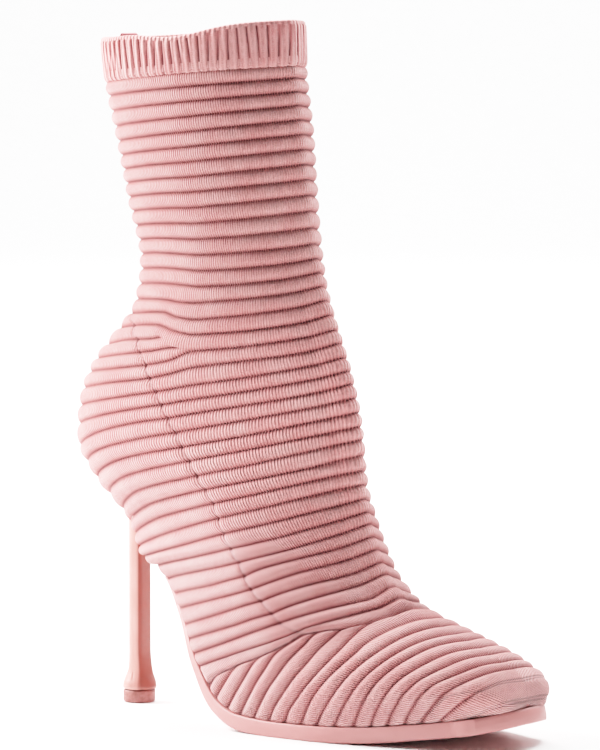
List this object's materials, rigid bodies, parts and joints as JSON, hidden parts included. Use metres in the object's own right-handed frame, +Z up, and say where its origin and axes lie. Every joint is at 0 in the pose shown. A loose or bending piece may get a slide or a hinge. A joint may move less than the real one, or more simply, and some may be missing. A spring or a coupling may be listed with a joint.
{
  "type": "ribbed knit stiletto ankle boot",
  "caption": "Right-foot sock ankle boot in chunky ribbed knit with a ribbed cuff, square toe, thin sole and slim high pin heel.",
  "frame": {"origin": "middle of the bounding box, on the floor the boot stands on", "axes": "+Z up the shaft, +X towards the toe, +Y to the wearer's left"},
  "size_m": [0.2286, 0.0826, 0.278],
  "materials": {
    "knit": "padded ribbed knit, soft and dull",
    "sole": "smooth, slightly satin",
    "insole_lining": "smooth matt cloth",
    "heel_plastic": "satin lacquer",
    "tip_rubber": "hard, dull",
    "ribbon": "woven, slight sheen"
  },
  "bodies": {
    "root": {"upper": "knit", "insole": "insole_lining", "heel": "heel_plastic", "outsole": "sole", "heel_tip": "tip_rubber", "pull_loop": "ribbon"}
  },
  "joints": []
}
